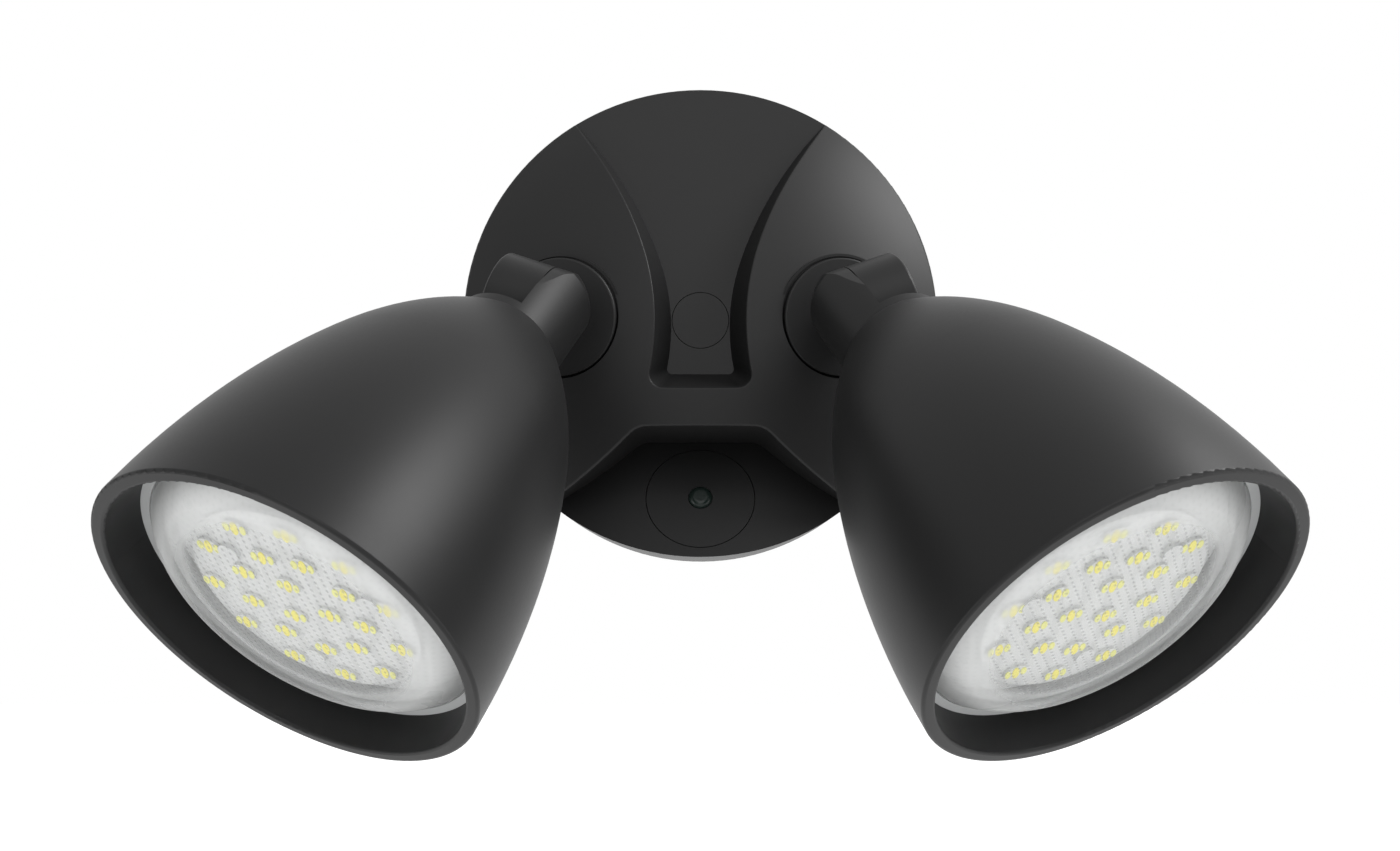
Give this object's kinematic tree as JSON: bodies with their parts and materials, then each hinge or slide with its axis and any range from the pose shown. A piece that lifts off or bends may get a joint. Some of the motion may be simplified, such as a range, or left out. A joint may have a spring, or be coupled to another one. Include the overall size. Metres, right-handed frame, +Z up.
{
  "type": "twin-head security light",
  "caption": "Wall-mounted outdoor security light: round black base with a light sensor and swivelling bell-shaped LED heads with clear domed lenses.",
  "frame": {"origin": "on the mounting bolt's axis at the wall plane, midway between the strap's two box-screw slots", "axes": "+Z up the wall, +X to the right seen from the front, +Y into the wall; the light stands out along -Y"},
  "size_m": [0.23, 0.162, 0.1776],
  "materials": {
    "cover_black": "satin black powder coat",
    "head_black": "satin black powder coat",
    "sensor_black": "satin black",
    "foam_black": "matt black foam",
    "seal_black": "matt black",
    "zinc_steel": "zinc plated",
    "ground_green": "green plated",
    "plate_steel": "zinc plated sheet",
    "circuit_green": "green solder mask",
    "circuit_white": "white solder mask",
    "transformer_yellow": "satin tape",
    "capacitor_black": "gloss sleeve",
    "terminal_white": "satin white",
    "sensor_clear": "clear smoked",
    "sensor_red": "satin",
    "sink_aluminium": "satin",
    "chip_yellow": "satin phosphor",
    "reflector_white": "satin white",
    "lens_clear": "clear prismatic",
    "bezel_grey": "satin grey"
  },
  "bodies": {
    "base": {"base_cover": "cover_black", "wall_gasket": "foam_black", "back_plate": "plate_steel", "plate_screws": "zinc_steel", "mounting_strap": "plate_steel", "ground_screw": "ground_green", "mounting_bolt": "zinc_steel", "bolt_seal": "seal_black", "bolt_cap": "cover_black", "wire_grommet": "seal_black", "driver_board": "circuit_green", "board_screws": "zinc_steel", "transformer": "transformer_yellow", "capacitors": "capacitor_black", "terminal_block": "terminal_white", "sensor_bezel": "sensor_black", "sensor_lens": "sensor_clear", "sensor_board": "circuit_green", "sensor_cell": "sensor_red", "sensor_screws": "zinc_steel", "left_swivel_seal": "seal_black", "right_swivel_seal": "seal_black"},
    "left_arm": {"left_swivel_arm": "head_black", "left_swivel_washer": "zinc_steel", "left_swivel_nut": "zinc_steel", "left_tilt_cap": "head_black"},
    "left_head": {"left_tilt_washer": "seal_black", "left_tilt_screw": "zinc_steel", "left_neck": "head_black", "left_neck_nut": "zinc_steel", "left_head_shell": "head_black", "left_heat_sink": "sink_aluminium", "left_sink_screws": "zinc_steel", "left_led_board": "circuit_white", "left_led_chips": "chip_yellow", "left_led_screws": "zinc_steel", "left_reflector": "reflector_white", "left_lens_seal": "seal_black", "left_lens": "lens_clear", "left_lens_bezel": "bezel_grey"},
    "right_arm": {"right_swivel_arm": "head_black", "right_swivel_washer": "zinc_steel", "right_swivel_nut": "zinc_steel", "right_tilt_cap": "head_black"},
    "right_head": {"right_tilt_washer": "seal_black", "right_tilt_screw": "zinc_steel", "right_neck": "head_black", "right_neck_nut": "zinc_steel", "right_head_shell": "head_black", "right_heat_sink": "sink_aluminium", "right_sink_screws": "zinc_steel", "right_led_board": "circuit_white", "right_led_chips": "chip_yellow", "right_led_screws": "zinc_steel", "right_reflector": "reflector_white", "right_lens_seal": "seal_black", "right_lens": "lens_clear", "right_lens_bezel": "bezel_grey"}
  },
  "joints": [
    {"name": "left_pan", "type": "hinge", "parent": "base", "child": "left_arm", "pos_m": [-0.03801, -0.04355, -0.00221], "axis": [-0.171, -0.9698, -0.1736], "range_deg": [-100, 20]},
    {"name": "left_tilt", "type": "hinge", "parent": "left_arm", "child": "left_head", "pos_m": [-0.04199, -0.06614, -0.00625], "axis": [-0.935, 0.1042, 0.3389], "range_deg": [-20, 40]},
    {"name": "right_pan", "type": "hinge", "parent": "base", "child": "right_arm", "pos_m": [0.03801, -0.04355, -0.00221], "axis": [-0.171, 0.9698, 0.1736], "range_deg": [-100, 20]},
    {"name": "right_tilt", "type": "hinge", "parent": "right_arm", "child": "right_head", "pos_m": [0.04199, -0.06614, -0.00625], "axis": [-0.935, -0.1042, -0.3389], "range_deg": [-20, 40]}
  ]
}
